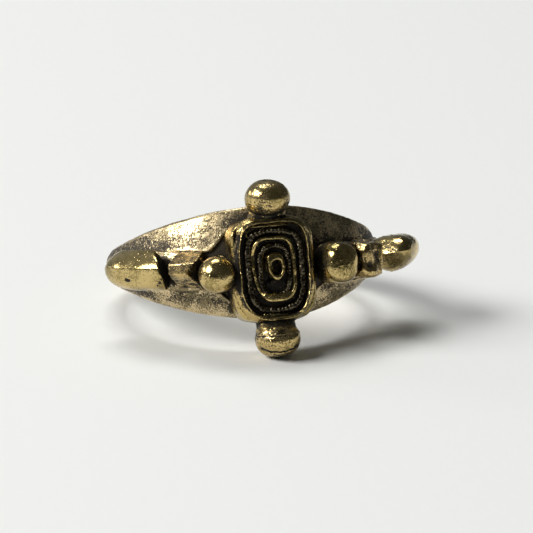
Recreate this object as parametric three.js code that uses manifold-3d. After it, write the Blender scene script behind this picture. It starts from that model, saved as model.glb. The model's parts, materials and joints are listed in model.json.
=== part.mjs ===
// A cast brass finger ring: a tapering shank, a stepped bezel with corded wires round an eye, a pellet above
// and below the bezel, and a ball, a wedge and an end pellet on each shoulder. Every raised form was made by
// itself and joined to the shank, so each one is a solid of its own.
//
// Millimetres. Every piece is first made in the ring's own frame: the finger goes along Z, and the bezel faces -Y.
// The whole ring is then laid down as it comes to rest on a table, on its lower pellet and the back of its shank.

import * as THREE from "three";
import { mergeVertices } from "three/addons/utils/BufferGeometryUtils.js";
import Module from "manifold-3d";

const { PI, abs, cos, hypot, sign, sin } = Math;
const DEGREE = PI / 180;

// Driving dimensions.
const BORE_RADIUS = 9.0;
const SOLDER_GAP = 0.05; // between any two pieces that are joined

const SHANK = {
  thickness: 1.6, // along the middle of the band
  edgeThickness: 0.85,
  upper: 4.52, // from the middle to the upper edge, behind the bezel
  lower: 4.1,
  back: 1.3, // from the middle to either edge, at the back
  leftTaperEnds: 100 * DEGREE, // from the bezel, where the shoulder has run down to the back's width
  rightTaperEnds: 94 * DEGREE,
};

const BEZEL = {
  centre: -0.36, // along the finger, from the middle of the shank
  lean: 1.8 * DEGREE, // it's set a little askew, with its top to the left
  width: 6.55,
  height: 7.8,
  inset: 0.25, // of the plate's top, from its base
  floor: 0.9, // the plate's top, above the shank
};

// The concentric pieces on the bezel's plate: half of the width and the height of the line that each one follows,
// and how square its corners are (2 is an ellipse, and more is squarer).
const OUTER_FRAME = { halfWidth: 2.56, halfHeight: 3.46, squareness: 3.6, height: 0.62 };
const OUTER_CORD = { halfWidth: 2.09, halfHeight: 2.99, squareness: 3.4, radius: 0.24 };
const INNER_FRAME = { halfWidth: 1.6, halfHeight: 2.44, squareness: 3.2, height: 0.66 };
const INNER_CORD = { halfWidth: 1.14, halfHeight: 1.84, squareness: 3.0, radius: 0.2 };
const EYE = { halfWidth: 0.56, halfHeight: 0.88, squareness: 2.4, height: 0.95, across: 0.1, along: 0.24 };

const PELLET = { radius: 1.65, halfHeight: 1.42, footRadius: 1.0 };
const PELLET_OUT = 0.75; // the pellets' axis, in front of the shank
const TOP_PELLET = { centre: 5.08, across: -0.12 };
const BOTTOM_PELLET = { centre: -5.58, across: -0.08 };
const NECK = { radius: 1.42, topRadius: 1.25 };

const STRIP = { halfWidth: 1.5, height: 0.35, margin: 1.2 * DEGREE };
const BALL = { radius: 1.35, footRadius: 0.95 };
const SEAT = { radius: 1.3, topRadius: 1.15, height: 0.5 };
const WEDGE = { length: 2.05, width: 2.85, height: 1.75, ridge: 1.1 };

// Where the pieces of each shoulder sit: the angle from the bezel, and how far along the finger from the middle.
// The maker set every one of them by eye, so the two sides differ.
const SHOULDERS = {
  left: {
    side: -1,
    ball: { angle: 21.2 * DEGREE, rise: -0.5 },
    wedge: { angle: 34.8 * DEGREE, rise: -0.3 },
    end: { angle: 56.6 * DEGREE, rise: 0.0, length: 4.8, halfWidth: 1.55, halfDepth: 1.25 },
  },
  right: {
    side: 1,
    ball: { angle: 26.4 * DEGREE, rise: -0.05 },
    wedge: { angle: 40.6 * DEGREE, rise: 0.05 },
    end: { angle: 62.6 * DEGREE, rise: 0.3, length: 4.6, halfWidth: 1.42, halfDepth: 1.75 },
  },
};

const SEGMENTS = { shank: 80, frame: 36, round: 20 };

const cast = new THREE.MeshStandardMaterial({ color: 0x8f7b4c, roughness: 0.45, metalness: 0.9 });
const polished = new THREE.MeshStandardMaterial({ color: 0xb59a58, roughness: 0.25, metalness: 1.0 });
const darkened = new THREE.MeshStandardMaterial({ color: 0x3a3324, roughness: 0.6, metalness: 0.6 });

const wasm = await Module();
wasm.setup();

function toSolid(geometry) {
  const bare = geometry.clone();
  bare.deleteAttribute("normal");
  bare.deleteAttribute("uv");
  const merged = mergeVertices(bare, 1e-4);
  const triVerts = new Uint32Array(merged.index.array);
  const vertProperties = new Float32Array(merged.attributes.position.array);
  return new wasm.Manifold(new wasm.Mesh({ numProp: 3, vertProperties, triVerts }));
}

function toGeometry(solid) {
  const mesh = solid.getMesh();
  const geometry = new THREE.BufferGeometry();
  geometry.setAttribute("position", new THREE.BufferAttribute(new Float32Array(mesh.vertProperties), 3));
  geometry.setIndex(new THREE.BufferAttribute(new Uint32Array(mesh.triVerts), 1));
  geometry.computeVertexNormals();
  return geometry;
}

function cut(geometry, ...tools) {
  return toGeometry(tools.reduce((left, tool) => left.subtract(toSolid(tool)), toSolid(geometry)));
}

// Moves every vertex of a geometry to where place(point) says.
function reshape(geometry, place) {
  const position = geometry.attributes.position;
  const point = new THREE.Vector3();
  for (let i = 0; i < position.count; i++) {
    place(point.fromBufferAttribute(position, i));
    position.setXYZ(i, point.x, point.y, point.z);
  }
  geometry.computeVertexNormals();
  return geometry;
}

// From the band's middle to its upper edge (up is 1) or its lower one (up is -1), at an angle from the bezel.
function edge(angle, up) {
  const front = up > 0 ? SHANK.upper : SHANK.lower;
  const ends = angle < 0 ? SHANK.leftTaperEnds : SHANK.rightTaperEnds;
  const share = Math.min(abs(angle) / ends, 1);
  return SHANK.back + (front - SHANK.back) * 0.5 * (1 + cos(PI * share));
}

// The radius of the band's outside, which is crowned from edge to edge.
function bandRadius(angle, height) {
  const across = Math.min(abs(height) / edge(angle, sign(height)), 1);
  return BORE_RADIUS + SHANK.edgeThickness + (SHANK.thickness - SHANK.edgeThickness) * (1 - across ** 2.4);
}

// The point at an angle from the bezel (positive towards +X), a radius from the finger's line, and a height along it.
function around(point, angle, radius, height) {
  return point.set(radius * sin(angle), -radius * cos(angle), height);
}

// The band is spun from a closed profile whose width and thickness are both 1, and then given its taper.
// With a grow, it is the same band but that much thicker all round, as a tool to cut what is joined to it.
function shank(grow = 0) {
  const across = [-1, -0.85, -0.6, -0.3, 0, 0.3, 0.6, 0.85, 1];
  const outside = across.map((u) => new THREE.Vector2(2, u));
  const inside = [1, 0.4, -0.4, -1].map((u) => new THREE.Vector2(1, u));
  const profile = [...outside, ...inside, outside[0]];
  const spun = new THREE.LatheGeometry(profile, SEGMENTS.shank);
  return reshape(spun, (p) => {
    const angle = Math.atan2(p.x, p.z);
    const height = p.y * edge(angle, sign(p.y));
    const outer = hypot(p.x, p.z) > 1.5;
    const radius = outer ? bandRadius(angle, height) + grow : BORE_RADIUS - grow;
    around(p, angle, radius, height + sign(p.y) * grow);
  });
}

// A point of a squared oval, and its outward normal, at an angle from the width's direction.
function squaredOval({ halfWidth: a, halfHeight: b, squareness: n }, angle) {
  const exact = (value) => (abs(value) < 1e-9 ? 0 : value); // so that the spun seam closes
  const c = exact(cos(angle));
  const s = exact(sin(angle));
  const x = a * sign(c) * abs(c) ** (2 / n);
  const y = b * sign(s) * abs(s) ** (2 / n);
  const normal = new THREE.Vector2(
    (sign(x) * abs(x / a) ** (n - 1)) / a,
    (sign(y) * abs(y / b) ** (n - 1)) / b,
  ).normalize();
  return { x, y, normal };
}

// Stands a shape made about the bezel's centre, with its height along +Z, on the front of the shank.
function onBezel(geometry) {
  geometry.rotateX(PI / 2);
  geometry.translate(0, -BORE_RADIUS - SHANK.thickness, BEZEL.centre);
  return geometry.rotateY(-BEZEL.lean);
}

// A closed band that follows a squared oval. The section's points are [how far outside the line, how high].
function ovalBand(line, section, floor) {
  const far = 10; // larger than any section, so that the spun radius says which way is out
  const profile = section.map(([out, up]) => new THREE.Vector2(far + out, up));
  const spun = new THREE.LatheGeometry([...profile, profile[0]], SEGMENTS.frame);
  return reshape(spun, (p) => {
    const out = hypot(p.x, p.z) - far;
    const at = squaredOval(line, Math.atan2(-p.z, p.x));
    const { across = 0, along = 0 } = line;
    p.set(at.x + at.normal.x * out + across, at.y + at.normal.y * out + along, floor + p.y);
  });
}

function bezelPlate(grow = 0) {
  const sunk = 1.2; // how far the sides run down past the middle of the shank's front, before they are cut to it
  const base = { halfWidth: BEZEL.width / 2, halfHeight: BEZEL.height / 2, squareness: 5 };
  const rings = [
    [0, -sunk],
    [0, 0],
    [-BEZEL.inset, BEZEL.floor],
  ];
  const far = 10;
  const profile = rings.map(([out, up]) => new THREE.Vector2(far + out, up));
  const closed = [new THREE.Vector2(0, -sunk), ...profile, new THREE.Vector2(0, BEZEL.floor)];
  const spun = new THREE.LatheGeometry(closed, SEGMENTS.frame);
  return onBezel(
    reshape(spun, (p) => {
      const reach = hypot(p.x, p.z);
      const up = p.y + (p.y > 0 ? grow : 0);
      if (reach < 1) {
        p.set(0, 0, up);
        return;
      }
      const at = squaredOval(base, Math.atan2(-p.z, p.x));
      const out = reach - far + grow;
      p.set(at.x + at.normal.x * out, at.y + at.normal.y * out, up);
    }),
  );
}

// A frame whose outer side slopes by the given run, and whose top is a narrow flat.
function frame(line, outerRun, grow = 0) {
  const rim = 0.08;
  const section = [
    [-0.2, 0],
    [outerRun + grow, 0],
    [rim + grow, line.height + grow],
    [-rim, line.height + grow],
  ];
  return onBezel(ovalBand(line, section, BEZEL.floor + SOLDER_GAP));
}

const outerFrame = (grow = 0) => frame(OUTER_FRAME, 0.44, grow);
const innerFrame = () => frame(INNER_FRAME, 0.2);

function cord(line) {
  const sides = 8;
  const section = [];
  for (let i = 0; i < sides; i++) {
    const turn = ((i + 0.5) / sides) * 2 * PI;
    section.push([line.radius * cos(turn), line.radius * (1 + sin(turn))]);
  }
  return onBezel(ovalBand(line, section, BEZEL.floor + SOLDER_GAP));
}

function eyeCollet() {
  const section = [
    [-0.14, 0],
    [0.24, 0],
    [0.17, 0.45],
    [0.1, EYE.height],
    [-0.1, EYE.height],
  ];
  return onBezel(ovalBand(EYE, section, BEZEL.floor + SOLDER_GAP));
}

// A flattened sphere with a flat foot, spun about Y, with its middle at the origin and its foot at the low end.
function footedPellet(radius, halfHeight, footRadius) {
  const steps = 9;
  const footAngle = Math.asin(footRadius / radius); // from the low pole
  const profile = [new THREE.Vector2(0, -halfHeight * cos(footAngle))];
  for (let i = 0; i <= steps; i++) {
    const turn = footAngle + ((PI - footAngle) * i) / steps;
    const reach = i === steps ? 0 : radius * sin(turn);
    profile.push(new THREE.Vector2(reach, -halfHeight * cos(turn)));
  }
  return new THREE.LatheGeometry(profile, SEGMENTS.round);
}

// A short post spun about Y, from low to high.
function post(lowRadius, highRadius, low, high) {
  const profile = [
    new THREE.Vector2(0, low),
    new THREE.Vector2(lowRadius, low),
    new THREE.Vector2(highRadius, high),
    new THREE.Vector2(0, high),
  ];
  return new THREE.LatheGeometry(profile, SEGMENTS.round);
}

const footDrop = ({ radius, footRadius }, halfHeight) => halfHeight * cos(Math.asin(footRadius / radius));
const pelletFront = -(BORE_RADIUS + SHANK.thickness + PELLET_OUT);

// The pellet above or below the bezel, with its foot towards the bezel.
function bezelPellet({ centre, across }) {
  const pellet = footedPellet(PELLET.radius, PELLET.halfHeight, PELLET.footRadius);
  pellet.rotateX((sign(centre) * PI) / 2);
  pellet.translate(across, pelletFront, centre);
  return cut(pellet.rotateY(-BEZEL.lean), shank(SOLDER_GAP));
}

// The neck runs from the pellet's foot down to the bezel's plate and the shank, and is cut to both.
function neck({ centre, across }) {
  const up = sign(centre);
  const foot = abs(centre) - footDrop(PELLET, PELLET.halfHeight) - SOLDER_GAP;
  const low = abs(BEZEL.centre + (up * BEZEL.height) / 2) - 0.6;
  const made = post(NECK.radius, NECK.topRadius, low, foot);
  made.rotateX((up * PI) / 2);
  made.translate(across, pelletFront, 0);
  made.rotateY(-BEZEL.lean);
  return cut(made, shank(SOLDER_GAP), bezelPlate(SOLDER_GAP), outerFrame(SOLDER_GAP));
}

// Turns a piece spun about Y to stand straight out of the band.
function standOut(geometry, { side }, { angle, rise }, out) {
  const turn = side * angle;
  geometry.rotateX(PI);
  const radius = bandRadius(turn, rise) + out;
  const centre = around(new THREE.Vector3(), turn, radius, rise);
  geometry.applyMatrix4(new THREE.Matrix4().makeRotationZ(turn));
  geometry.translate(centre.x, centre.y, centre.z);
  return geometry;
}

function ball(shoulder) {
  const centre = SEAT.height + SOLDER_GAP + footDrop(BALL, BALL.radius);
  const made = standOut(footedPellet(BALL.radius, BALL.radius, BALL.footRadius), shoulder, shoulder.ball, centre);
  return cut(made, bezelPlate(SOLDER_GAP), outerFrame(SOLDER_GAP));
}

function seat(shoulder) {
  const sunk = 0.8;
  const made = standOut(post(SEAT.radius, SEAT.topRadius, -sunk, SEAT.height), shoulder, shoulder.ball, 0);
  return cut(made, shank(SOLDER_GAP), bezelPlate(SOLDER_GAP));
}

// Wraps a flat piece round the band: x runs along it, y along the finger, and z out from the band's face.
function wrap(geometry, { side }, { angle, rise }) {
  const middle = BORE_RADIUS + SHANK.thickness;
  return reshape(geometry, (p) => {
    const turn = side * (angle + p.x / middle);
    const height = rise + p.y;
    around(p, turn, bandRadius(turn, rise) + p.z, height);
  });
}

// A mirrored piece has its faces turned round, so that they point out again.
function faceOut(geometry, { side }) {
  if (side > 0) return geometry;
  const index = geometry.index.array;
  for (let i = 0; i < index.length; i += 3) [index[i + 1], index[i + 2]] = [index[i + 2], index[i + 1]];
  geometry.computeVertexNormals();
  return geometry;
}

// The height along the finger of the strip's middle, which runs from the wedge's to the end pellet's.
function stripRise({ wedge, end }, angle) {
  const share = (angle - wedge.angle) / (end.angle - wedge.angle);
  return wedge.rise + (end.rise - wedge.rise) * Math.min(Math.max(share, 0), 1);
}

// The thin strip that the wedge and the end pellet stand on.
function strip(shoulder, grow = 0) {
  const steps = 14;
  const middle = BORE_RADIUS + SHANK.thickness;
  const from = shoulder.wedge.angle - WEDGE.length / 2 / middle - STRIP.margin;
  const to = shoulder.end.angle + shoulder.end.length / 2 / middle + STRIP.margin;
  const flat = new THREE.BoxGeometry(1, 2, 1, steps, 4, 1);
  const made = reshape(flat, (p) => {
    const angle = from + (p.x + 0.5) * (to - from) + sign(p.x) * grow * 0.1;
    const height = stripRise(shoulder, angle) + p.y * (STRIP.halfWidth + grow);
    const out = p.z < 0 ? -0.2 : STRIP.height + grow;
    const turn = shoulder.side * angle;
    around(p, turn, bandRadius(turn, height) + out, height);
  });
  return faceOut(made, shoulder);
}

// A hipped block: its ridge is shorter than its base, and its inner end slopes the more.
function wedge(shoulder) {
  const flat = new THREE.BoxGeometry(2, 2, 1, 4, 4, 3);
  const foot = STRIP.height + SOLDER_GAP;
  const made = wrap(
    reshape(flat, (p) => {
      const up = p.z + 0.5;
      const inner = WEDGE.length / 2 - (WEDGE.length - WEDGE.ridge) * 0.75 * up;
      const outer = WEDGE.length / 2 - (WEDGE.length - WEDGE.ridge) * 0.25 * up;
      p.x *= p.x < 0 ? inner : outer;
      p.y *= (WEDGE.width / 2) * (1 - 0.82 * up);
      p.z = foot + 0.15 + up * WEDGE.height - (up > 0 ? 0 : 0.5);
    }),
    shoulder,
    shoulder.wedge,
  );
  return cut(faceOut(made, shoulder), strip(shoulder, SOLDER_GAP), shank(SOLDER_GAP));
}

// A pellet like a bullet, cut square at its inner end and round at its outer end, lying along the strip.
function endPellet(shoulder) {
  const { length, halfWidth: wide, halfDepth: deep } = shoulder.end;
  const sunk = 0.35;
  const outline = [
    [0, 0],
    [0, 0.8],
    [0.06, 0.93],
    [0.2, 1],
    [0.45, 1],
    [0.65, 0.93],
    [0.82, 0.76],
    [0.93, 0.5],
    [0.985, 0.24],
    [1, 0],
  ];
  const profile = outline.map(([along, reach]) => new THREE.Vector2(reach, along));
  const spun = new THREE.LatheGeometry(profile, SEGMENTS.round);
  const made = wrap(
    reshape(spun, (p) => {
      p.set((p.y - 0.5) * length, p.z * wide, STRIP.height - sunk + (1 + p.x) * deep);
    }),
    shoulder,
    shoulder.end,
  );
  return cut(faceOut(made, shoulder), strip(shoulder, SOLDER_GAP), shank(SOLDER_GAP));
}

function piece(name, geometry, material) {
  const mesh = new THREE.Mesh(geometry, material);
  mesh.name = name;
  return mesh;
}

function bezelPieces() {
  const group = new THREE.Group();
  group.add(
    piece("bezel_plate", cut(bezelPlate(), shank(SOLDER_GAP)), cast),
    piece("bezel_outer_frame", outerFrame(), polished),
    piece("bezel_outer_cord", cord(OUTER_CORD), darkened),
    piece("bezel_inner_frame", innerFrame(), polished),
    piece("bezel_inner_cord", cord(INNER_CORD), darkened),
    piece("bezel_eye_collet", eyeCollet(), polished),
    piece("top_neck", neck(TOP_PELLET), darkened),
    piece("top_pellet", bezelPellet(TOP_PELLET), polished),
    piece("bottom_neck", neck(BOTTOM_PELLET), darkened),
    piece("bottom_pellet", bezelPellet(BOTTOM_PELLET), polished),
  );
  return group;
}

function shoulderPieces(name) {
  const shoulder = SHOULDERS[name];
  const group = new THREE.Group();
  group.add(
    piece(`${name}_strip`, cut(strip(shoulder), shank(SOLDER_GAP)), cast),
    piece(`${name}_ball_seat`, seat(shoulder), darkened),
    piece(`${name}_ball`, ball(shoulder), polished),
    piece(`${name}_wedge`, wedge(shoulder), cast),
    piece(`${name}_end_pellet`, endPellet(shoulder), polished),
  );
  return group;
}

function lowest(object) {
  return new THREE.Box3().setFromObject(object, true).min.z;
}

// The ring leans back until its lower pellet and the back of its shank are equally low.
function layDown(ring) {
  const front = ring.getObjectByName("bottom_pellet");
  const back = ring.getObjectByName("shank");
  let low = 0;
  let high = 30 * DEGREE;
  for (let i = 0; i < 40; i++) {
    ring.rotation.x = -(low + high) / 2;
    ring.updateMatrixWorld(true);
    if (lowest(front) < lowest(back)) low = (low + high) / 2;
    else high = (low + high) / 2;
  }
  const box = new THREE.Box3().setFromObject(ring, true);
  const middle = box.getCenter(new THREE.Vector3());
  ring.position.set(-middle.x, -middle.y, -box.min.z);
  ring.updateMatrixWorld(true);
}

const ring = new THREE.Group();
ring.add(piece("shank", shank(), cast), bezelPieces(), shoulderPieces("left"), shoulderPieces("right"));
layDown(ring);

export default ring;
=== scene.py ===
import json
from math import atan2, cos, exp, hypot, pi, radians, sin, sqrt

import bmesh
import bpy
import numpy as np
from mathutils import Matrix, Vector, noise
from mathutils.bvhtree import BVHTree


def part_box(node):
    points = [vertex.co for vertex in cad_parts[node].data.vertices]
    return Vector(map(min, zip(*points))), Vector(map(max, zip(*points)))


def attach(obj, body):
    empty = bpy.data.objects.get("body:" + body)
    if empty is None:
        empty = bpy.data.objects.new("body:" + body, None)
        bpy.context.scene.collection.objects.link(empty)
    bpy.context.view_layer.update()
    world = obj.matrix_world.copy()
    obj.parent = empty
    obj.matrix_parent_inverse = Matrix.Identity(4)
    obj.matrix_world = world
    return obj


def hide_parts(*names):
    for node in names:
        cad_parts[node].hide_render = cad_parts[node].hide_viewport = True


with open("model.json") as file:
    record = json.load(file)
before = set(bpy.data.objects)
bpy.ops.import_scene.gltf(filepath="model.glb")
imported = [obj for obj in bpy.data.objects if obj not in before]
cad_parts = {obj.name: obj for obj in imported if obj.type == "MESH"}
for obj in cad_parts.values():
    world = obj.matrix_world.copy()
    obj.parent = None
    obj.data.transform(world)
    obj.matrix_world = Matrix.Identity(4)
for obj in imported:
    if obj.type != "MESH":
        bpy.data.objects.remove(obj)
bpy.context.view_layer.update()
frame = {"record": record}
scene = bpy.context.scene

# ----------------------------------------------------------------------------
# How the ring lies. It rests on its lower pellet and the back of its shank, so the finger's line leans
# back. The record's upper back edge gives the finger's direction, and the shank's middle is in front of
# that edge's point and under it. Sizes below are in millimetres, in the ring's own frame: x to the right of
# someone who looks at the bezel, y away from them, and z along the finger.
# ----------------------------------------------------------------------------
MM = 0.001
EDGE_BEHIND_MIDDLE = 9.274
EDGE_ABOVE_MIDDLE = 1.3

back_edge = next(m for m in frame["record"]["mounts"] if m["name"] == "back_upper_edge")
finger_line = Vector(back_edge["axis"]).normalized()
backwards = Vector((0, finger_line.z, -finger_line.y))
shank_low, shank_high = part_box("shank")
to_edge = (EDGE_ABOVE_MIDDLE * finger_line + EDGE_BEHIND_MIDDLE * backwards) * MM
ring_middle = Vector(back_edge["pos_m"]) - to_edge
ring_middle.x = (shank_low.x + shank_high.x) / 2


def in_ring(x, y, z):
    """A place in the ring's own frame, in millimetres, as a place in the scene, in metres."""
    return ring_middle + (Vector((x, 0, 0)) + backwards * y + finger_line * z) * MM


# ----------------------------------------------------------------------------
# The camera looks a little down on the bezel from its left, through a long lens, and is rolled by a degree.
# ----------------------------------------------------------------------------
VIEW_AZIMUTH = radians(-13.4)
VIEW_HEIGHT = radians(17.0)
VIEW_ROLL = radians(1.0)
VIEW_DISTANCE = 0.300
AIM_RIGHT, AIM_DOWN = 2.0, 0.39
LENS, SENSOR_WIDTH = 258.3, 36.0

view_out = Vector((
    sin(VIEW_AZIMUTH) * cos(VIEW_HEIGHT),
    -cos(VIEW_AZIMUTH) * cos(VIEW_HEIGHT),
    sin(VIEW_HEIGHT),
))
level_right = Vector((cos(VIEW_AZIMUTH), sin(VIEW_AZIMUTH), 0))
level_up = view_out.cross(level_right)
view_right = level_right * cos(VIEW_ROLL) + level_up * sin(VIEW_ROLL)
view_up = level_up * cos(VIEW_ROLL) - level_right * sin(VIEW_ROLL)
view_target = ring_middle + view_right * AIM_RIGHT * MM - view_up * AIM_DOWN * MM

camera_data = bpy.data.cameras.new("camera")
camera_data.lens = LENS
camera_data.sensor_width = SENSOR_WIDTH
camera_data.clip_start = 0.01
camera = bpy.data.objects.new("camera", camera_data)
camera.matrix_world = Matrix.Translation(view_target + view_out * VIEW_DISTANCE) @ Matrix((
    (view_right.x, view_up.x, view_out.x, 0),
    (view_right.y, view_up.y, view_out.y, 0),
    (view_right.z, view_up.z, view_out.z, 0),
    (0, 0, 0, 1),
))
scene.collection.objects.link(camera)
scene.camera = camera


# ----------------------------------------------------------------------------
# The studio: a white card to stand on, a broad softbox on the left with a low strip behind it, another
# broad one high behind the ring, and a room that is pale behind and on the left, and dark in front. The
# dark side is what gives polished brass its dark middle.
# ----------------------------------------------------------------------------
def colour(code):
    """A linear RGBA colour from an sRGB hex value."""
    parts = [int(code[i:i + 2], 16) / 255 for i in (1, 3, 5)]
    return [c / 12.92 if c <= 0.04045 else ((c + 0.055) / 1.055) ** 2.4 for c in parts] + [1.0]


def add_node(tree, kind, inputs=None, **settings):
    """A node with its settings, and with each input set to a value or linked to a socket."""
    node = tree.nodes.new(kind)
    for key, value in settings.items():
        setattr(node, key, value)
    for key, value in (inputs or {}).items():
        if isinstance(value, bpy.types.NodeSocket):
            tree.links.new(value, node.inputs[key])
        else:
            node.inputs[key].default_value = value
    return node


def softbox(name, azimuth, height, distance, size, power, tint):
    """An area light that faces the ring. Azimuth 0 is in front of the bezel, and -90 is on its left."""
    out = Vector((
        sin(radians(azimuth)) * cos(radians(height)),
        -cos(radians(azimuth)) * cos(radians(height)),
        sin(radians(height)),
    ))
    data = bpy.data.lights.new(name, "AREA")
    data.shape = "RECTANGLE"
    data.size, data.size_y = size
    data.energy = power
    data.color = colour(tint)[:3]
    light = bpy.data.objects.new(name, data)
    light.location = ring_middle + out * distance
    light.rotation_euler = (-out).to_track_quat("-Z", "Y").to_euler()
    scene.collection.objects.link(light)


softbox("softbox_left", azimuth=-83, height=37, distance=1.0, size=(0.56, 0.40), power=9.9, tint="#fffefc")
softbox("strip_light_left", azimuth=-124, height=17, distance=1.0, size=(0.34, 0.12), power=1, tint="#fffdf9")
softbox("softbox_behind", azimuth=-172, height=64, distance=1.1, size=(0.60, 0.34), power=5.2, tint="#ffffff")

ROOM_IN_FRONT, ROOM_BEHIND = "#414342", "#919597"

world = bpy.data.worlds.new("studio")
world.use_nodes = True
scene.world = world
room = world.node_tree
room.nodes.clear()
ray = add_node(room, "ShaderNodeTexCoord")
ray_parts = add_node(room, "ShaderNodeSeparateXYZ", {"Vector": ray.outputs["Generated"]})
left_and_behind = add_node(room, "ShaderNodeMath", {
    0: ray_parts.outputs["X"], 1: -0.9, 2: ray_parts.outputs["Y"],
}, operation="MULTIPLY_ADD")
pale_side = add_node(room, "ShaderNodeMapRange", {
    "Value": left_and_behind.outputs[0], "From Min": 0.1, "From Max": 1.25,
}, interpolation_type="SMOOTHSTEP")
room_tone = add_node(room, "ShaderNodeMix", {
    0: pale_side.outputs["Result"], 6: colour(ROOM_IN_FRONT), 7: colour(ROOM_BEHIND),
}, data_type="RGBA")
room_light = add_node(room, "ShaderNodeBackground", {"Color": room_tone.outputs[2]})
add_node(room, "ShaderNodeOutputWorld", {"Surface": room_light.outputs["Background"]})

card = bmesh.new()
bmesh.ops.create_grid(card, x_segments=1, y_segments=1, size=1.5)
card_mesh = bpy.data.meshes.new("white_card")
card.to_mesh(card_mesh)
card.free()
white_card = bpy.data.objects.new("white_card", card_mesh)
scene.collection.objects.link(white_card)

# Matt white card: nearly pure diffuse, with a tooth too fine to be seen.
card_stock = bpy.data.materials.new("matt_white_card")
card_stock.use_nodes = True
tree = card_stock.node_tree
tree.nodes.clear()
card_at = add_node(tree, "ShaderNodeTexCoord")
tooth = add_node(tree, "ShaderNodeTexNoise", {
    "Vector": card_at.outputs["Object"], "Scale": 900.0, "Detail": 3.0,
})
tooth_bump = add_node(tree, "ShaderNodeBump", {
    "Height": tooth.outputs["Fac"], "Strength": 0.02, "Distance": MM,
})
card_shade = add_node(tree, "ShaderNodeBsdfPrincipled", {
    "Base Color": colour("#e9eae8"), "Roughness": 0.9, "Specular IOR Level": 0.2,
    "Normal": tooth_bump.outputs["Normal"],
})
add_node(tree, "ShaderNodeOutputMaterial", {"Surface": card_shade.outputs["BSDF"]})
card_mesh.materials.append(card_stock)


# ----------------------------------------------------------------------------
# The brass. It was cast in lost wax, blackened, and then worn and rubbed back, so it is bright and yellow
# where a finger reaches, olive where it's tarnished, and brown-black where the patina is sheltered. That
# brown-black is also painted shade: the gaps and recesses between pieces are darkened in the colour where
# shadow falls in them. Two attributes that are measured on the finished ring say where that is: how enclosed
# each point is, in the gaps between pieces, which gives both the patina and the painted shade, and proud, on
# edges.
# ----------------------------------------------------------------------------
MOTTLE_WEIGHT, SPECK_WEIGHT, WEAR_WEIGHT = 1.9, 2.6, 1.25
PATINA_AND_SHADE_FROM, PATINA_AND_SHADE_FULL = 0.18, 0.84
TARNISH_FROM, TARNISH_FULL = 0.80, 0.99
SPECK_ROUGHNESS, PATINA_ROUGHNESS = 0.22, 0.55


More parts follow.
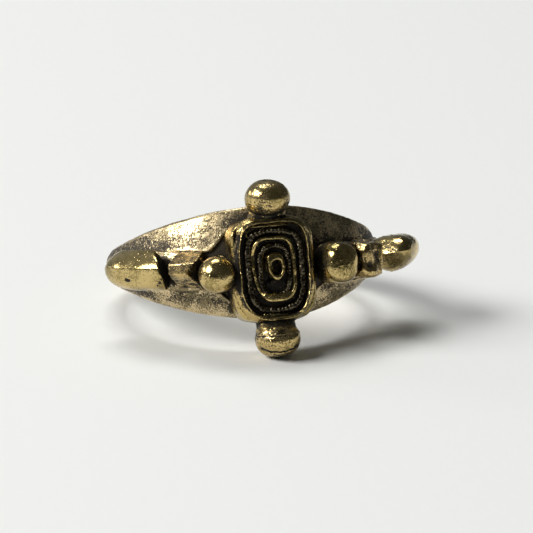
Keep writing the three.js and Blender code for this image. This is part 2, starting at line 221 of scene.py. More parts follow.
def aged_brass(
    name, bright, tarnish, patina, roughness, cover, hold, mottle_mm, speck_mm, pitting,
    relief_mm=0.06, drawn_out=1.0,
):
    """Brass with a rubbed patina. bright, tarnish and patina are its colours, and roughness is that of the
    open metal. cover is the patina's share of the open surface, and hold is how strongly the ring's gaps are
    darkened: patina that stays in shelter, and painted shade where shadow falls in them. The patina colour is
    used for both. The mottling is drawn_out round the band, the way that the ring turns on a finger."""
    material = bpy.data.materials.new(name)
    material.use_nodes = True
    tree = material.node_tree
    tree.nodes.clear()
    at = add_node(tree, "ShaderNodeTexCoord").outputs["Object"]
    gap_shade_and_patina = add_node(tree, "ShaderNodeAttribute", attribute_name="gap_shade_and_patina").outputs["Fac"]
    proud = add_node(tree, "ShaderNodeAttribute", attribute_name="proud").outputs["Fac"]
    round_band = add_node(tree, "ShaderNodeMapping", {
        "Vector": at, "Rotation": (-atan2(finger_line.y, finger_line.z), 0, 0),
        "Scale": (drawn_out, drawn_out, 1),
    }, vector_type="TEXTURE").outputs["Vector"]
    mottle = add_node(tree, "ShaderNodeTexNoise", {
        "Vector": round_band, "Scale": 1000 / mottle_mm, "Detail": 7.0, "Roughness": 0.62, "Distortion": 0.4,
    }).outputs["Fac"]
    cloud = add_node(tree, "ShaderNodeTexNoise", {
        "Vector": at, "Scale": 1000 / (mottle_mm * 2.3), "Detail": 6.0, "Roughness": 0.6,
    }).outputs["Fac"]
    speck = add_node(tree, "ShaderNodeTexNoise", {
        "Vector": at, "Scale": 1000 / speck_mm, "Detail": 3.0, "Roughness": 0.6,
    }).outputs["Fac"]
    pit = add_node(tree, "ShaderNodeTexVoronoi", {
        "Vector": at, "Scale": 1000 / (speck_mm * 2.6),
    }).outputs["Distance"]

    # Where the patina and the painted shade are: the sum of shelter, mottling and specks, less the wear on what
    # stands proud. The shelter term darkens the gaps both as patina and as painted shade. The two noises are
    # both 0.5 on average, so that much of each is taken off.
    even_mix = (MOTTLE_WEIGHT + SPECK_WEIGHT) / 2
    with_mottle = add_node(tree, "ShaderNodeMath", {
        0: mottle, 1: MOTTLE_WEIGHT, 2: cover - even_mix,
    }, operation="MULTIPLY_ADD")
    with_speck = add_node(tree, "ShaderNodeMath", {
        0: speck, 1: SPECK_WEIGHT, 2: with_mottle.outputs[0],
    }, operation="MULTIPLY_ADD")
    with_gap_shade_and_patina = add_node(tree, "ShaderNodeMath", {
        0: gap_shade_and_patina, 1: hold, 2: with_speck.outputs[0],
    }, operation="MULTIPLY_ADD")
    less_wear = add_node(tree, "ShaderNodeMath", {
        0: proud, 1: -WEAR_WEIGHT, 2: with_gap_shade_and_patina.outputs[0],
    }, operation="MULTIPLY_ADD")
    patina_and_shade_here = add_node(tree, "ShaderNodeMapRange", {
        "Value": less_wear.outputs[0], "From Min": PATINA_AND_SHADE_FROM, "From Max": PATINA_AND_SHADE_FULL,
    }, interpolation_type="SMOOTHSTEP").outputs["Result"]
    cloud_and_speck = add_node(tree, "ShaderNodeMath", {0: speck, 1: 0.8, 2: cloud}, operation="MULTIPLY_ADD")
    tarnish_here = add_node(tree, "ShaderNodeMapRange", {
        "Value": cloud_and_speck.outputs[0], "From Min": TARNISH_FROM, "From Max": TARNISH_FULL, "To Max": 0.95,
    }, interpolation_type="SMOOTHSTEP").outputs["Result"]
    open_metal = add_node(tree, "ShaderNodeMix", {
        0: tarnish_here, 6: colour(bright), 7: colour(tarnish),
    }, data_type="RGBA").outputs[2]
    tone = add_node(tree, "ShaderNodeMix", {
        0: patina_and_shade_here, 6: open_metal, 7: colour(patina),
    }, data_type="RGBA")

    metal = add_node(tree, "ShaderNodeMapRange", {"Value": patina_and_shade_here, "To Min": 1.0, "To Max": 0.55})
    polish = add_node(tree, "ShaderNodeMath", {
        0: speck, 1: SPECK_ROUGHNESS, 2: roughness - SPECK_ROUGHNESS / 2,
    }, operation="MULTIPLY_ADD")
    rough = add_node(tree, "ShaderNodeMix", {
        0: patina_and_shade_here, 2: polish.outputs[0], 3: PATINA_ROUGHNESS,
    }, data_type="FLOAT")

    pit_depth = add_node(tree, "ShaderNodeMapRange", {
        "Value": pit, "From Min": 0.05, "From Max": 0.3, "To Min": -pitting, "To Max": 0.0,
    }, interpolation_type="SMOOTHSTEP").outputs["Result"]
    relief = add_node(tree, "ShaderNodeMath", {0: speck, 1: 0.5, 2: pit_depth}, operation="MULTIPLY_ADD")
    relief_too = add_node(tree, "ShaderNodeMath", {
        0: mottle, 1: 0.8, 2: relief.outputs[0],
    }, operation="MULTIPLY_ADD")
    bump = add_node(tree, "ShaderNodeBump", {
        "Height": relief_too.outputs[0], "Strength": 0.5, "Distance": relief_mm * MM,
    })
    shade = add_node(tree, "ShaderNodeBsdfPrincipled", {
        "Base Color": tone.outputs[2], "Metallic": metal.outputs["Result"], "Roughness": rough.outputs[0],
        "Normal": bump.outputs["Normal"],
    })
    add_node(tree, "ShaderNodeOutputMaterial", {"Surface": shade.outputs["BSDF"]})
    return material


finished = []


def piece(bm, name, material):
    """Makes a finished piece out of a bmesh in millimetres. It stands for the CAD node of its name."""
    for v in bm.verts:
        v.co = in_ring(*v.co)
    bmesh.ops.recalc_face_normals(bm, faces=bm.faces)
    mesh = bpy.data.meshes.new(name + "_form")
    bm.to_mesh(mesh)
    bm.free()
    mesh.shade_smooth()
    mesh.materials.append(material)
    form = bpy.data.objects.new(name + "_form", mesh)
    scene.collection.objects.link(form)
    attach(form, "root")
    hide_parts(name)
    finished.append(form)


def smooth_step(value, low, high):
    """Rises smoothly from 0 at low to 1 at high."""
    share = min(max((value - low) / (high - low), 0.0), 1.0)
    return share * share * (3 - 2 * share)


SEED_STEPS = (7.13, 3.71, 5.37)
CELL_SPREAD = 9.1
PIT_BOTTOM, PIT_RIM = 0.05, 0.38


def hand_work(bm, seed, lump, lump_mm, grain, grain_mm, pits=0.0, pit_mm=0.5, rarity=0.75):
    """Moves the surface of a bmesh in millimetres as casting and filing leave it: lumps, grain and pits.
    Each piece's seed takes it to a different part of the noise."""
    bm.normal_update()
    shift = Vector([seed * step for step in SEED_STEPS])
    moves = []
    for v in bm.verts:
        out = lump * noise.noise(v.co / lump_mm + shift)
        out += grain * noise.noise(v.co / grain_mm + shift * 2)
        if pits:
            distances, points = noise.voronoi(v.co / pit_mm + shift)
            chosen = noise.cell(points[0] * CELL_SPREAD + shift) * 0.5 + 0.5
            if chosen > rarity:
                out -= pits * (1 - smooth_step(distances[0], PIT_BOTTOM, PIT_RIM))
        moves.append(v.normal * out)
    for v, move in zip(bm.verts, moves):
        v.co += move


def spun(points, steps, closed=False):
    """A section of (radius, height) points, joined up and spun right round the z axis."""
    bm = bmesh.new()
    section = [bm.verts.new((radius, 0, height)) for radius, height in points]
    for first, second in zip(section, section[1:] + (section[:1] if closed else [])):
        bm.edges.new((first, second))
    bmesh.ops.spin(
        bm, geom=bm.verts[:] + bm.edges[:], axis=(0, 0, 1), cent=(0, 0, 0),
        angle=2 * pi, steps=steps, use_merge=True, use_duplicate=False,
    )
    return bm


# ----------------------------------------------------------------------------
# Shank. One cast band, 18 mm inside, that swells from 2.6 mm wide at the back to 8.6 mm behind the bezel.
# Each shoulder has a plain leaf above and below, which ends in a soft lip over the channel that the balls
# are set in.
# ----------------------------------------------------------------------------
BORE_RADIUS = 9.0
BAND_THICKNESS = 1.6
EDGE_DROP, CROWN_SQUARENESS = 0.75, 2.4
UPPER_FRONT, LOWER_FRONT, BACK_HALF = 4.52, 4.1, 1.3
UPPER_TAPERS, LOWER_TAPERS = (radians(114), radians(102)), (radians(107), radians(86))  # left and right
UPPER_RIGHT_FULLNESS = 0.55
UPPER_LIP, LOWER_LIP = (1.18, 1.75), (1.45, 1.2)  # from the middle, and the swing away from it
CHANNEL_DEPTH, LIP_CREST = 0.24, 0.02
LOWER_RIGHT_CHANNEL, UPPER_RIGHT_CHANNEL = 0.35, 0.12  # shares of the left one's depth
SHANK_CUTS, SHANK_STEPS = 112, 540


def band_edge(angle, up):
    """Half of the band's width, above or below its middle, at an angle from the bezel."""
    front = UPPER_FRONT if up > 0 else LOWER_FRONT
    tapers = UPPER_TAPERS if up > 0 else LOWER_TAPERS
    share = min(abs(angle) / tapers[0 if angle < 0 else 1], 1)
    return BACK_HALF + (front - BACK_HALF) * 0.5 * (1 + cos(pi * share))


def band_radius(angle, height):
    """The radius of the band's crowned outside. It is fuller towards its edge at the upper right."""
    across = min(abs(height) / band_edge(angle, height), 1)
    drop = EDGE_DROP
    if height > 0:
        fuller = smooth_step(angle, radians(30), radians(62))
        fuller *= 1 - smooth_step(angle, radians(95), radians(135))
        drop *= 1 - UPPER_RIGHT_FULLNESS * fuller
    return BORE_RADIUS + BAND_THICKNESS - drop * across ** CROWN_SQUARENESS


def around(angle, radius, height):
    """A point at an angle from the bezel, positive to the right of it."""
    return Vector((radius * sin(angle), -radius * cos(angle), height))


def leaf_lip(angle, height):
    """How far from the middle the leaf's lip runs. It swings away from the channel near the bezel."""
    from_middle, swing = UPPER_LIP if height > 0 else LOWER_LIP
    near = 1 - smooth_step(abs(angle), radians(15), radians(26))
    return from_middle + swing * near


def shank_radius(angle, height):
    """The band's outside with its channel and lips, which run from the bezel's side to the end pellets."""
    radius = band_radius(angle, height)
    turned = abs(angle)
    along = smooth_step(turned, radians(12), radians(17))
    along *= 1 - smooth_step(turned, radians(60), radians(76))
    if angle > 0:
        along *= LOWER_RIGHT_CHANNEL if height < 0 else UPPER_RIGHT_CHANNEL
    lip = leaf_lip(angle, height)
    wander = 0.12 * noise.noise(Vector((angle * 9, 3.1 if height > 0 else 8.4, 0)))
    step = smooth_step(abs(height), lip + wander - 0.06, lip + wander + 0.1)
    crest = exp(-(((abs(height) - lip - wander - 0.14) / 0.16) ** 2))
    return radius + along * (LIP_CREST * crest - CHANNEL_DEPTH * (1 - step))


# Its section is spun with the outside at a radius of 2, the bore at 1, and the width from -1 to 1. Every
# point is then moved to where it belongs.
outside = [(2, 1 - 2 * i / SHANK_CUTS) for i in range(SHANK_CUTS + 1)]
bore = [(1.0, height) for height in (-0.985, -0.9, -0.6, -0.3, 0, 0.3, 0.6, 0.9, 0.985)]
shank = spun(outside + bore, SHANK_STEPS, closed=True)
for v in shank.verts:
    angle = atan2(v.co.x, -v.co.y)
    height = v.co.z * band_edge(angle, v.co.z)
    if hypot(v.co.x, v.co.y) > 1.5:
        edge_round = 0.1 * smooth_step(abs(v.co.z), 0.96, 1.0)
        v.co = around(angle, shank_radius(angle, height) - edge_round, height)
    else:
        v.co = around(angle, BORE_RADIUS, height)
hand_work(
    shank, 1, lump=0.055, lump_mm=1.9, grain=0.016, grain_mm=0.28, pits=0.035, pit_mm=0.42, rarity=0.8,
)

# Cast brass on the leaves: the casting's skin is never quite filed away, so it's dull and finely pitted.
cast_skin = aged_brass(
    "cast_brass_skin", bright="#d9c49a", tarnish="#7b6f53", patina="#3a3328",
    roughness=0.36, cover=0.50, hold=2.0, mottle_mm=0.7, speck_mm=0.11, pitting=0.6, drawn_out=2.4,
)
piece(shank, "shank", cast_skin)


# ----------------------------------------------------------------------------
# Bezel. A plate is let into the front of the shank. On it stand two frames of sheet on edge, one inside the
# other, with a corded wire in each channel and an eye in the middle. It was set a little askew.
# ----------------------------------------------------------------------------
BEZEL_MIDDLE = -0.36
BEZEL_LEAN = radians(1.8)
PLATE_FLOOR = 0.9
FAR = 10.0  # a spun section is drawn this far out, and then brought in to the line that it follows
OVAL_CUTS = 4000


def on_bezel(x, y, out):
    """From the bezel's own plan, x across and y along the finger, with out in front of the shank."""
    z = y + BEZEL_MIDDLE
    turned = (x * cos(BEZEL_LEAN) - z * sin(BEZEL_LEAN), z * cos(BEZEL_LEAN) + x * sin(BEZEL_LEAN))
    return Vector((turned[0], -(BORE_RADIUS + BAND_THICKNESS + out), turned[1]))


def squared_oval(line, turn):
    """A point of a squared oval and its outward normal. The line is its half width, its half height, and
    how square its corners are above and below, where 2 is an ellipse."""
    half_width, half_height, above, below = line
    square = above if sin(turn) > 0 else below
    across = 0.0 if abs(cos(turn)) < 1e-9 else cos(turn)
    upwards = 0.0 if abs(sin(turn)) < 1e-9 else sin(turn)
    x = half_width * (1 if across > 0 else -1) * abs(across) ** (2 / square)
    y = half_height * (1 if upwards > 0 else -1) * abs(upwards) ** (2 / square)
    slope_x = (1 if x > 0 else -1) * abs(x / half_width) ** (square - 1) / half_width
    slope_y = (1 if y > 0 else -1) * abs(y / half_height) ** (square - 1) / half_height
    return x, y, Vector((slope_x, slope_y)).normalized()


def even_turns(line, count):
    """Turns that space the points of a squared oval evenly along it."""
    fine = [2 * pi * i / OVAL_CUTS for i in range(OVAL_CUTS + 1)]
    points = np.array([squared_oval(line, t)[:2] for t in fine])
    run = np.concatenate([[0], np.cumsum(np.hypot(*np.diff(points, axis=0).T))])
    return np.interp(np.linspace(0, run[-1], count + 1)[:-1], run, fine)


def follow_oval(line, section, steps, place):
    """Spins a closed section and brings it in to a squared oval. place may then shift each point."""
    bm = spun([(FAR + out, up) for out, up in section], steps, closed=True)
    turns = even_turns(line, steps)
    for v in bm.verts:
        share = (atan2(v.co.y, v.co.x) / (2 * pi)) % 1
        x, y, normal = squared_oval(line, turns[round(share * steps) % steps])
        out = hypot(v.co.x, v.co.y) - FAR
        v.co = on_bezel(*place(x + normal.x * out, y + normal.y * out, v.co.z, out))
    return bm


def stay(x, y, up, out):
    """Leaves a point where it is."""
    return x, y, up


def smooth_section(corners, cuts):
    """A closed section with its straight runs cut into short ones."""
    points = []
    for (x0, y0), (x1, y1) in zip(corners, corners[1:] + corners[:1]):
        points += [(x0 + (x1 - x0) * i / cuts, y0 + (y1 - y0) * i / cuts) for i in range(cuts)]
    return points


# The plate: its sides flare a little as they run down into the shank, and its upper left corner bulges.
PLATE_LINE = (3.27, 3.9, 5.2, 4.2)
PLATE_STEPS = 360
PLATE_BULGE = 0.55
plate_section = [(0.02, PLATE_FLOOR)]
plate_section += [(FAR + out, PLATE_FLOOR) for out in (-2.4, -1.6, -1.0, -0.7, -0.5, -0.38)]
plate_section += [(FAR + out, up) for out, up in (
    (-0.28, 0.885), (-0.19, 0.84), (-0.12, 0.76), (-0.07, 0.65), (-0.035, 0.5), (-0.01, 0.35), (0.0, 0.2),
    (0.01, 0.05), (0.03, -0.15), (0.05, -0.4), (0.06, -0.7), (0.06, -1.1),
)]
plate = spun(plate_section, PLATE_STEPS)
plate_turns = even_turns(PLATE_LINE, PLATE_STEPS)
for v in plate.verts:
    share = (atan2(v.co.y, v.co.x) / (2 * pi)) % 1
    x, y, normal = squared_oval(PLATE_LINE, plate_turns[round(share * PLATE_STEPS) % PLATE_STEPS])
    reach = hypot(v.co.x, v.co.y)
    if reach < 1:
        v.co = on_bezel(x * reach * 0.1, y * reach * 0.1, v.co.z)
    else:
        out = reach - FAR
        bulge = PLATE_BULGE * exp(-((x + 2.95) ** 2 + (y - 2.75) ** 2) / 0.75) * smooth_step(out, -0.5, -0.1)
        out += 0.3 * bulge
        v.co = on_bezel(x + normal.x * out, y + normal.y * out, v.co.z + bulge)
bmesh.ops.remove_doubles(plate, verts=plate.verts, dist=0.003)
bmesh.ops.holes_fill(plate, edges=[e for e in plate.edges if e.is_boundary], sides=0)
hand_work(plate, 2, lump=0.05, lump_mm=0.9, grain=0.012, grain_mm=0.25, pits=0.03, pit_mm=0.4)

# Filed brass on the bezel: rubbed bright on every ridge, and black in the hollows behind them: patina,
# and painted shade where shadow falls in the hollows.
bezel_brass = aged_brass(
    "rubbed_bezel_brass", bright="#cdb477", tarnish="#83754b", patina="#211c15",
    roughness=0.22, cover=0.46, hold=1.95, mottle_mm=0.8, speck_mm=0.12, pitting=0.5,
)
piece(plate, "bezel_plate", bezel_brass)

# The outer frame: a sheer inner wall up to a sharp rim, and a rolled outer side.
OUTER_LINE = (2.66, 3.6, 4.4, 3.0)
OUTER_HEIGHT = 0.68
outer_corners = [
    (-0.16, PLATE_FLOOR - 0.1), (0.50, PLATE_FLOOR - 0.1), (0.48, PLATE_FLOOR + 0.04),
    (0.40, PLATE_FLOOR + 0.17), (0.26, PLATE_FLOOR + 0.29), (0.13, PLATE_FLOOR + 0.40),
    (0.06, PLATE_FLOOR + 0.54), (0.04, PLATE_FLOOR + OUTER_HEIGHT - 0.03), (0.0, PLATE_FLOOR + OUTER_HEIGHT),
    (-0.04, PLATE_FLOOR + OUTER_HEIGHT - 0.03), (-0.08, PLATE_FLOOR + 0.3),
]


def worn_rim(x, y, up, out):
    """The rim was beaten and worn by hand, so it dips and wanders."""
    above = max(up - PLATE_FLOOR - 0.2, 0) / 0.45
    dip = noise.noise(Vector((x * 1.1, y * 1.1, 4.0)))
    ripple = noise.noise(Vector((x * 3.6, y * 3.6, 9.0)))
    sway = noise.noise(Vector((x * 0.9, y * 0.9, 17.0)))
    roll = 0.24 * exp(-(((out - 0.2) / 0.17) ** 2)) * smooth_step(abs(y), 2.5, 3.3)
    return x - 0.06 + 0.06 * sway, y + 0.06 + 0.05 * dip, up + roll + above * (0.08 * dip + 0.05 * ripple)


outer_frame = follow_oval(OUTER_LINE, smooth_section(outer_corners, 3), 420, worn_rim)
hand_work(outer_frame, 3, lump=0.03, lump_mm=0.7, grain=0.012, grain_mm=0.2)
piece(outer_frame, "bezel_outer_frame", bezel_brass)

# The inner frame: a lower strip on edge, thick along its foot. Its left side is bent in and worn away.
INNER_LINE = (1.55, 2.32, 3.8, 3.8)
INNER_HEIGHT = 0.62
inner_corners = [
    (-0.20, PLATE_FLOOR - 0.1), (0.22, PLATE_FLOOR - 0.1), (0.19, PLATE_FLOOR + 0.25),
    (0.13, PLATE_FLOOR + INNER_HEIGHT - 0.05), (0.04, PLATE_FLOOR + INNER_HEIGHT),
    (-0.06, PLATE_FLOOR + INNER_HEIGHT - 0.02), (-0.13, PLATE_FLOOR + INNER_HEIGHT - 0.12),
    (-0.17, PLATE_FLOOR + 0.25),
]


def bent_in(x, y, up, out):
    """Bends the frame's lower left side in, wears its left rim down, and thickens its foot below."""
    low = smooth_step(-y, -0.5, 2.4)
    left = smooth_step(-x, 0.0, 1.5)
    worn = left * smooth_step(-abs(y + 0.3), -2.1, -1.2)
    above = max(up - PLATE_FLOOR, 0) / INNER_HEIGHT
    dip = noise.noise(Vector((x * 1.7, y * 1.7, 31.0)))
    thick = 0.32 * smooth_step(-y, 1.6, 2.2) * smooth_step(-out, -0.1, 0.1)
    return x + 0.42 * low * left - 0.12, y + 0.12 + thick, up - above * (0.34 * worn) + above * 0.07 * dip


inner_frame = follow_oval(INNER_LINE, smooth_section(inner_corners, 3), 320, bent_in)
hand_work(inner_frame, 4, lump=0.03, lump_mm=0.6, grain=0.012, grain_mm=0.2)
piece(inner_frame, "bezel_inner_frame", bezel_brass)

# The eye: a tall collet with a squared shoulder above and a small foot below, drilled through.
EYE_LINE = (0.52, 0.68, 2.4, 2.2)
EYE_HEIGHT = 0.95
eye_corners = [
    (-0.12, PLATE_FLOOR - 0.1), (0.27, PLATE_FLOOR - 0.1), (0.22, PLATE_FLOOR + 0.35),
    (0.17, PLATE_FLOOR + 0.68), (0.12, PLATE_FLOOR + 0.85), (0.04, PLATE_FLOOR + EYE_HEIGHT),
    (-0.05, PLATE_FLOOR + EYE_HEIGHT - 0.02), (-0.11, PLATE_FLOOR + EYE_HEIGHT - 0.1),
    (-0.14, PLATE_FLOOR + 0.4),
]


def keyhole(x, y, up, out):
    """Pushes the collet's outside into a square shoulder at the upper left and a narrow foot below."""
    outside = smooth_step(out, -0.02, 0.12)
    shoulder = smooth_step(y, 0.1, 0.7) * smooth_step(-x, -0.35, 0.35)
    foot = smooth_step(-y, 0.35, 0.95)
    x_shaped = x * (1 - 0.25 * foot * outside) - 0.2 * shoulder * outside
    y_shaped = y + 0.26 * smooth_step(y, 0.1, 0.7) * outside - 0.16 * foot * outside
    return x_shaped + 0.03, y_shaped + 0.22, up


eye = follow_oval(EYE_LINE, smooth_section(eye_corners, 3), 200, keyhole)
hand_work(eye, 5, lump=0.03, lump_mm=0.5, grain=0.01, grain_mm=0.18)

# The eye stands highest of what is inside the frame, so its brass is kept brighter by rubbing.
eye_brass = aged_brass(
    "rubbed_eye_brass", bright="#d6bd80", tarnish="#8f7f52", patina="#211c15",
    roughness=0.2, cover=0.24, hold=1.0, mottle_mm=0.7, speck_mm=0.12, pitting=0.5,
)
piece(eye, "bezel_eye_collet", eye_brass)

# The corded wires: round wire, chased across to look like cord, and left black because nothing rubs them.
CORD_STEPS, CORD_SIDES = 720, 20
CORD_SUNK = 0.9
RIBBON = Vector((0, 0.001, 0))
blackened_cord = aged_brass(
    "blackened_cord_brass", bright="#5d5545", tarnish="#332e24", patina="#12100c",
    roughness=0.28, cover=0.74, hold=1.5, mottle_mm=0.7, speck_mm=0.12, pitting=0.5,
)


def cord_section(radius):
    """A round section that stands on the plate, sunk a little into it."""
    turns = [2 * pi * i / CORD_SIDES for i in range(CORD_SIDES)]
    return [(radius * cos(t), PLATE_FLOOR + radius * CORD_SUNK + radius * sin(t)) for t in turns]


def chase(bm, line, radius, ribs, depth):
    """Cuts the cord's ribs: each vertex is drawn towards the wire's middle, deeper between two ribs."""
    turns = even_turns(line, CORD_STEPS)
    wire = [Vector(on_bezel(*squared_oval(line, t)[:2], PLATE_FLOOR + radius * CORD_SUNK)) for t in turns]
    after = [(i + 1) % CORD_STEPS for i in range(CORD_STEPS)]
    tree = BVHTree.FromPolygons(
        [point + RIBBON for point in wire] + wire,
        [(i, after[i], CORD_STEPS + after[i], CORD_STEPS + i) for i in range(CORD_STEPS)],
    )
    for v in bm.verts:
        index = tree.find_nearest(v.co)[2]
        away = v.co - wire[index]
        spin = atan2(away.dot(Vector((0, -1, 0))), (away - Vector((0, away.y, 0))).length)
        rib = 0.5 + 0.5 * cos(2 * pi * ribs * index / CORD_STEPS + spin * 0.9)
        uneven = max(0.25 + 0.16 * abs(wire[index].z) + 1.2 * noise.noise(wire[index] * 0.9), 0)
        v.co -= away * (depth * (1 - rib) * uneven / radius)


OUTER_CORD_LINE, OUTER_CORD_RADIUS = (2.09, 2.99, 3.8, 3.2), 0.27
outer_cord = follow_oval(OUTER_CORD_LINE, cord_section(OUTER_CORD_RADIUS), CORD_STEPS, stay)
chase(outer_cord, OUTER_CORD_LINE, OUTER_CORD_RADIUS, ribs=58, depth=0.07)
hand_work(outer_cord, 6, lump=0.09, lump_mm=0.45, grain=0.03, grain_mm=0.15)
piece(outer_cord, "bezel_outer_cord", blackened_cord)

INNER_CORD_LINE, INNER_CORD_RADIUS = (1.14, 1.84, 3.0, 3.0), 0.24
inner_cord = follow_oval(INNER_CORD_LINE, cord_section(INNER_CORD_RADIUS), CORD_STEPS, stay)
chase(inner_cord, INNER_CORD_LINE, INNER_CORD_RADIUS, ribs=38, depth=0.06)
hand_work(inner_cord, 7, lump=0.09, lump_mm=0.45, grain=0.03, grain_mm=0.15)
piece(inner_cord, "bezel_inner_cord", blackened_cord)


# ----------------------------------------------------------------------------
# Pellets of the bezel. A large shot of brass sits on a short neck above the bezel, and another below it,
# where the ring stands on it. Both are melted balls, so they are smooth and a little flat. The lower one
# has a crack.
# ----------------------------------------------------------------------------
PELLET_RADIUS, TOP_HALF_HEIGHT, BOTTOM_HALF_HEIGHT = 1.74, 1.44, 1.42
PELLET_FRONT = -(BORE_RADIUS + BAND_THICKNESS + 0.75)
TOP_LEFT, TOP_UP = 0.12, 5.08
BOTTOM_LEFT, BOTTOM_DOWN = 0.08, 5.58
CRACK_DEPTH, CRACK_HALF_WIDTH = 0.13, 0.055

# Melted brass that is handled but never rubbed clean: smooth, with grime and patina left over much of it.
# It is darkened strongly where it is enclosed, which paints the shade under the necks onto the pellets too.
dull_ball = aged_brass(
    "handled_pellet_brass", bright="#d4ba80", tarnish="#958452", patina="#241f15",
    roughness=0.17, cover=0.66, hold=4.2, mottle_mm=1.0, speck_mm=0.13, pitting=0.9, relief_mm=0.035,
)


def lean(point):
    """Turns a point with the bezel, which leans a little to the left."""
    return Vector((
        point.x * cos(BEZEL_LEAN) - point.z * sin(BEZEL_LEAN), point.y,
        point.z * cos(BEZEL_LEAN) + point.x * sin(BEZEL_LEAN),
    ))


def melted_ball(radius, half_height, squareness=2.0, plan=2.0):
    """A ball about the origin. Above 2, squareness makes its section squarer, and plan its plan."""
    bm = bmesh.new()
    bmesh.ops.create_uvsphere(bm, u_segments=144, v_segments=96, radius=1)
    for v in bm.verts:
        flat = (abs(v.co.x) ** plan + abs(v.co.y) ** plan) ** (1 / plan)
        size = (flat ** squareness + abs(v.co.z) ** squareness) ** (1 / squareness)
        v.co = Vector((v.co.x * radius, v.co.y * radius, v.co.z * half_height)) / max(size, 1e-6)
    return bm


top_place = Vector((-TOP_LEFT, PELLET_FRONT, TOP_UP))
top_pellet = melted_ball(PELLET_RADIUS, TOP_HALF_HEIGHT)
for v in top_pellet.verts:
    v.co = lean(v.co + top_place)
hand_work(top_pellet, 8, lump=0.07, lump_mm=1.6, grain=0.006, grain_mm=0.22, pits=0.03, rarity=0.86)
piece(top_pellet, "top_pellet", dull_ball)

bottom_place = Vector((-BOTTOM_LEFT, PELLET_FRONT, -BOTTOM_DOWN))
bottom_pellet = melted_ball(PELLET_RADIUS, BOTTOM_HALF_HEIGHT)
for v in bottom_pellet.verts:
    v.co = lean(v.co + bottom_place)
for v in bottom_pellet.verts:
    rise = v.co.z + BOTTOM_DOWN
    across = v.co.x + BOTTOM_LEFT
    crack = -0.72 - 0.22 * cos(across * 1.3) + 0.08 * noise.noise(Vector((across * 2.2, 0, 5)))
    front = smooth_step(PELLET_FRONT - v.co.y, 0.2, 0.7)
    gap = exp(-(((rise - crack) / CRACK_HALF_WIDTH) ** 2))
    gap += 0.9 * exp(-((rise - crack) ** 2 + (abs(across) - 1.32) ** 2) / 0.03)  # a pit at each end
    v.co -= (v.co - bottom_place).normalized() * CRACK_DEPTH * front * gap
hand_work(bottom_pellet, 9, lump=0.09, lump_mm=1.3, grain=0.012, grain_mm=0.25, pits=0.05, rarity=0.8)
piece(bottom_pellet, "bottom_pellet", dull_ball)

# The necks: solder and swarf between each pellet and the bezel, black with patina.
NECK_ROWS, POST_STEPS = 22, 120
black_solder = aged_brass(
    "blackened_solder_brass", bright="#b39f70", tarnish="#5f553f", patina="#1c1913",
    roughness=0.24, cover=0.52, hold=1.2, mottle_mm=0.7, speck_mm=0.13, pitting=0.6,
)


def neck(up, low, head, foot_radius, waist_radius, head_radius, across, lap):
    """A waisted post from the bezel's end to a pellet. It stands further back than the pellet, and a lap of
    1 brings its head forward over it. up is 1 above the bezel and -1 below it."""
    profile = [(0, low)]
    for i in range(NECK_ROWS + 1):
        share = i / NECK_ROWS
        waist = sin(pi * share)
        radius = foot_radius + (head_radius - foot_radius) * share
        radius += (waist_radius - (foot_radius + head_radius) / 2) * waist
        profile.append((radius, low + (head - low) * share))
    profile.append((0, head))
    bm = spun(profile, POST_STEPS)
    bmesh.ops.remove_doubles(bm, verts=bm.verts, dist=0.001)
    for v in bm.verts:
        share = smooth_step(v.co.z, low, head)
        backwards_by = 0.62 * (1 - share) + 0.25 * (1 - lap * share)
        squash = 0.8 + 0.2 * lap * share
        v.co = lean(Vector((v.co.x + across, v.co.y * squash + PELLET_FRONT + backwards_by, v.co.z * up)))
    return bm


top_neck = neck(
    1, low=3.0, head=4.45, foot_radius=2.0, waist_radius=1.5, head_radius=1.4, across=-TOP_LEFT, lap=0,
)
hand_work(top_neck, 10, lump=0.08, lump_mm=0.7, grain=0.03, grain_mm=0.22, pits=0.05, pit_mm=0.35)
piece(top_neck, "top_neck", black_solder)

bottom_neck = neck(
    -1, low=3.6, head=5.2, foot_radius=1.75, waist_radius=1.5, head_radius=1.72, across=-BOTTOM_LEFT, lap=1,
)
hand_work(bottom_neck, 11, lump=0.1, lump_mm=0.7, grain=0.035, grain_mm=0.22, pits=0.06, pit_mm=0.35)
piece(bottom_neck, "bottom_neck", black_solder)


# ----------------------------------------------------------------------------
# Shoulders. Along each runs a thin strip, and on it stand a hipped wedge and an end pellet; nearer the
# bezel a ball sits on a solder seat of its own. All were set by eye, so the two sides differ.
# ----------------------------------------------------------------------------
STRIP_HEIGHT, STRIP_FOOT = 0.35, -0.55
MIDDLE_RADIUS = BORE_RADIUS + BAND_THICKNESS
# Each place is an angle from the bezel and a rise along the finger. The end pellet's size is its length,
# half its width and half its height.
LEFT = {
    "side": -1,
    "ball": (radians(21.2), -0.5), "wedge": (radians(33.4), -0.3), "end": (radians(56.6), 0.0),
    "end_size": (4.8, 1.55, 1.25),
}
RIGHT = {
    "side": 1,
    "ball": (radians(26.4), -0.05), "wedge": (radians(39.9), 0.05), "end": (radians(62.6), 0.3),
    "end_size": (4.6, 1.42, 1.75),
}


def outwards(shoulder, angle, rise, out, along, up):
    """A point that stands out of the band over a place on a shoulder."""
    turn = shoulder["side"] * angle
    straight = around(turn, band_radius(turn, rise) + out, rise + up)
    tangent = Vector((cos(turn), sin(turn), 0)) * shoulder["side"]
    return straight + tangent * along


def wrapped(shoulder, angle, rise, out, along, up):
    """A point of a piece that is bent to the band: along runs round it, away from the bezel."""
    turn = shoulder["side"] * (angle + along / MIDDLE_RADIUS)
    return around(turn, band_radius(turn, rise) + out, rise + up)


